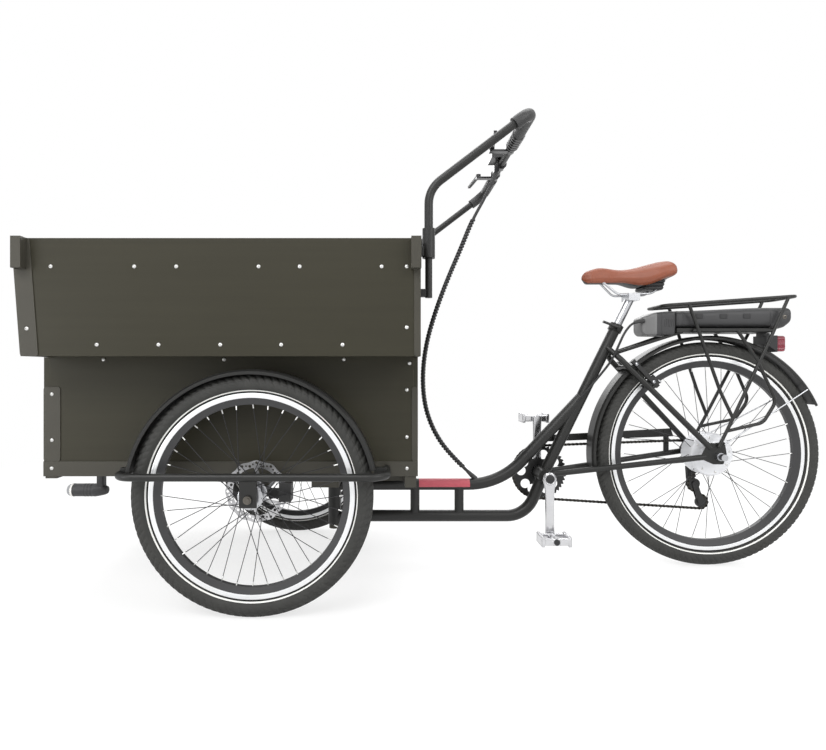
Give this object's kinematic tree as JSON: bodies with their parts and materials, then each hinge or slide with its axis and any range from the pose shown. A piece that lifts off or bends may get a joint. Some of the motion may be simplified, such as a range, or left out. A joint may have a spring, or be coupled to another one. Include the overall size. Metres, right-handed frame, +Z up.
{
  "type": "cargo tricycle",
  "caption": "Front-loading electric cargo tricycle with a stepped box on a steered two-wheel carriage, a U-shaped handlebar, a rear rack battery and pedal drive.",
  "frame": {"origin": "on the ground, under the middle of the overall box", "axes": "+X to the rear, +Y to the rider's right (the drive side), +Z up"},
  "size_m": [2.36, 0.908, 1.3],
  "materials": {
    "frame_black": "satin",
    "box_board": "satin",
    "tyre_rubber": "matte",
    "rim_black": "satin",
    "hub_metal": "satin",
    "silver_metal": "polished",
    "steel": "satin",
    "black_alloy": "satin",
    "grip_rubber": "matte",
    "black_plastic": "matte",
    "battery_grey": "matte",
    "red_lens": "gloss",
    "saddle_leather": "satin"
  },
  "bodies": {
    "rear_frame": {"main_frame": "frame_black", "chain_guard": "frame_black", "rear_fender": "frame_black", "rear_rack": "frame_black", "battery_controller": "battery_grey", "battery_lead": "grip_rubber", "tail_light": "black_plastic", "tail_light_lens": "red_lens", "rear_axle": "steel", "chain": "steel", "derailleur": "black_alloy", "control_loom": "grip_rubber"},
    "carriage": {"carriage_frame": "frame_black", "wheel_guard_rails": "frame_black", "front_axles": "steel", "floor_panel": "box_board", "lower_side_panel_left": "box_board", "lower_side_panel_right": "box_board", "lower_front_panel": "box_board", "lower_rear_panel": "box_board", "ledge_boards": "box_board", "upper_side_panel_left": "box_board", "upper_side_panel_right": "box_board", "upper_front_panel": "box_board", "upper_rear_panel": "box_board", "box_metal_trim": "frame_black", "canopy_sockets": "frame_black", "handle_sleeves": "frame_black", "handlebar": "frame_black", "handle_grips": "grip_rubber", "handle_controls": "black_plastic", "front_fenders": "frame_black", "brake_calipers": "black_alloy", "headlight": "black_plastic"},
    "front_wheel_left": {"front_tyre_left": "tyre_rubber", "front_rim_left": "rim_black", "front_hub_left": "hub_metal"},
    "front_wheel_right": {"front_tyre_right": "tyre_rubber", "front_rim_right": "rim_black", "front_hub_right": "hub_metal"},
    "rear_wheel": {"rear_tyre": "tyre_rubber", "rear_rim": "rim_black", "rear_hub_motor": "hub_metal"},
    "crankset": {"crank_arms": "silver_metal", "chainring": "black_alloy"},
    "pedal_l": {"pedal_left": "silver_metal"},
    "pedal_r": {"pedal_right": "silver_metal"},
    "sprockets": {"freewheel": "steel"},
    "cage": {"derailleur_cage": "black_alloy"},
    "lever_left": {"brake_lever_left": "black_alloy"},
    "lever_right": {"brake_lever_right": "black_alloy"},
    "shifter": {"twist_shifter": "grip_rubber"},
    "caliper_left": {"caliper_arm_left": "steel"},
    "caliper_right": {"caliper_arm_right": "steel"},
    "v_arm_left": {"v_brake_arm_left": "black_alloy"},
    "v_arm_right": {"v_brake_arm_right": "black_alloy"},
    "seat": {"seat_post": "silver_metal", "saddle": "saddle_leather"},
    "quick_release": {"qr_lever": "black_alloy"},
    "battery_pack": {"battery": "battery_grey"}
  },
  "joints": [
    {"name": "steer", "type": "hinge", "parent": "rear_frame", "child": "carriage", "pos_m": [-0.34, 0, 0.2], "axis": [0, 0, 1], "range_deg": [-35, 35], "deforming": ["control_loom"]},
    {"name": "front_left_spin", "type": "hinge", "parent": "carriage", "child": "front_wheel_left", "pos_m": [-0.512, -0.39, 0.301], "axis": [0, 1, 0], "continuous": true},
    {"name": "front_right_spin", "type": "hinge", "parent": "carriage", "child": "front_wheel_right", "pos_m": [-0.512, 0.39, 0.301], "axis": [0, 1, 0], "continuous": true},
    {"name": "rear_spin", "type": "hinge", "parent": "rear_frame", "child": "rear_wheel", "pos_m": [0.83, 0, 0.35], "axis": [0, 1, 0], "continuous": true},
    {"name": "crank_spin", "type": "hinge", "parent": "rear_frame", "child": "crankset", "pos_m": [0.317, 0, 0.282], "axis": [0, 1, 0], "continuous": true, "deforming": ["chain"]},
    {"name": "pedal_left_spin", "type": "hinge", "parent": "crankset", "child": "pedal_l", "pos_m": [0.317, -0.117, 0.112], "axis": [0, 1, 0], "continuous": true},
    {"name": "pedal_right_spin", "type": "hinge", "parent": "crankset", "child": "pedal_r", "pos_m": [0.317, 0.117, 0.452], "axis": [0, 1, 0], "continuous": true},
    {"name": "sprocket_spin", "type": "hinge", "parent": "rear_frame", "child": "sprockets", "pos_m": [0.83, 0.05, 0.35], "axis": [0, 1, 0], "continuous": true},
    {"name": "cage_swing", "type": "hinge", "parent": "rear_frame", "child": "cage", "pos_m": [0.82, 0.05, 0.244], "axis": [0, 1, 0], "range_deg": [-8, 12], "stiffness_Nm_per_rad": 0.8, "deforming": ["chain"]},
    {"name": "lever_left_pull", "type": "hinge", "parent": "carriage", "child": "lever_left", "pos_m": [0.136, -0.105, 1.268], "axis": [0, 0, 1], "range_deg": [0, 12], "stiffness_Nm_per_rad": 1},
    {"name": "lever_right_pull", "type": "hinge", "parent": "carriage", "child": "lever_right", "pos_m": [0.136, 0.14, 1.268], "axis": [0, 0, -1], "range_deg": [0, 12], "stiffness_Nm_per_rad": 1},
    {"name": "shifter_twist", "type": "hinge", "parent": "carriage", "child": "shifter", "pos_m": [0.192, -0.17, 1.271], "axis": [0, 1, 0], "range_deg": [-30, 60]},
    {"name": "caliper_left_pull", "type": "hinge", "parent": "carriage", "child": "caliper_left", "pos_m": [-0.436, -0.315, 0.305], "axis": [0, 1, 0], "range_deg": [0, 20]},
    {"name": "caliper_right_pull", "type": "hinge", "parent": "carriage", "child": "caliper_right", "pos_m": [-0.436, 0.315, 0.305], "axis": [0, 1, 0], "range_deg": [0, 20]},
    {"name": "v_left_pull", "type": "hinge", "parent": "rear_frame", "child": "v_arm_left", "pos_m": [0.63399, -0.05117, 0.55274], "axis": [-0.7189, 0, -0.6951], "range_deg": [0, 4]},
    {"name": "v_right_pull", "type": "hinge", "parent": "rear_frame", "child": "v_arm_right", "pos_m": [0.63399, 0.05117, 0.55274], "axis": [0.7189, 0, 0.6951], "range_deg": [0, 4]},
    {"name": "seat_height", "type": "slide", "parent": "rear_frame", "child": "seat", "axis": [0.4426, 0, 0.8967], "range_m": [-0.03, 0.06]},
    {"name": "quick_release_swing", "type": "hinge", "parent": "rear_frame", "child": "quick_release", "pos_m": [0.54513, -0.0273, 0.74414], "axis": [0.4426, 0, 0.8967], "range_deg": [0, 100]},
    {"name": "battery_slide", "type": "slide", "parent": "rear_frame", "child": "battery_pack", "axis": [1, 0, 0], "range_m": [0, 0.36]}
  ],
  "couplings": [
    {"joint": "sprocket_spin", "follows": "crank_spin", "ratio": 2.3333},
    {"joint": "caliper_left_pull", "follows": "lever_left_pull", "ratio": 1.6667},
    {"joint": "caliper_right_pull", "follows": "lever_left_pull", "ratio": 1.6667},
    {"joint": "v_left_pull", "follows": "lever_right_pull", "ratio": 0.33333},
    {"joint": "v_right_pull", "follows": "lever_right_pull", "ratio": 0.33333}
  ]
}
